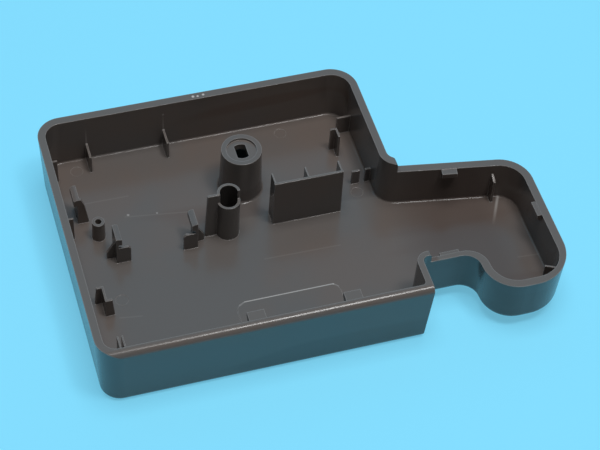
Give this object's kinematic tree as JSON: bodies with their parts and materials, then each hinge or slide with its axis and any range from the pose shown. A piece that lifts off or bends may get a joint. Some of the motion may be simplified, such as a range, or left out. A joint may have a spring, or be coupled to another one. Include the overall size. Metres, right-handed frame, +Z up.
{
  "type": "injection moulded plastic housing",
  "caption": "Open plastic housing: a shallow rounded tray with a hooked side arm, a stepped rim, and moulded bosses, ribs and snap clips inside.",
  "frame": {"origin": "centre of the plan box of tray and arm, on the surface the skirt stands on", "axes": "+X along the front wall from the tray towards the arm, +Y from the front wall to the back wall, +Z up, out of the open top"},
  "size_m": [0.1878, 0.1238, 0.0322],
  "materials": {
    "plastic": "fine moulded texture, dark grey-brown"
  },
  "bodies": {
    "root": {"housing": "plastic"}
  },
  "joints": []
}
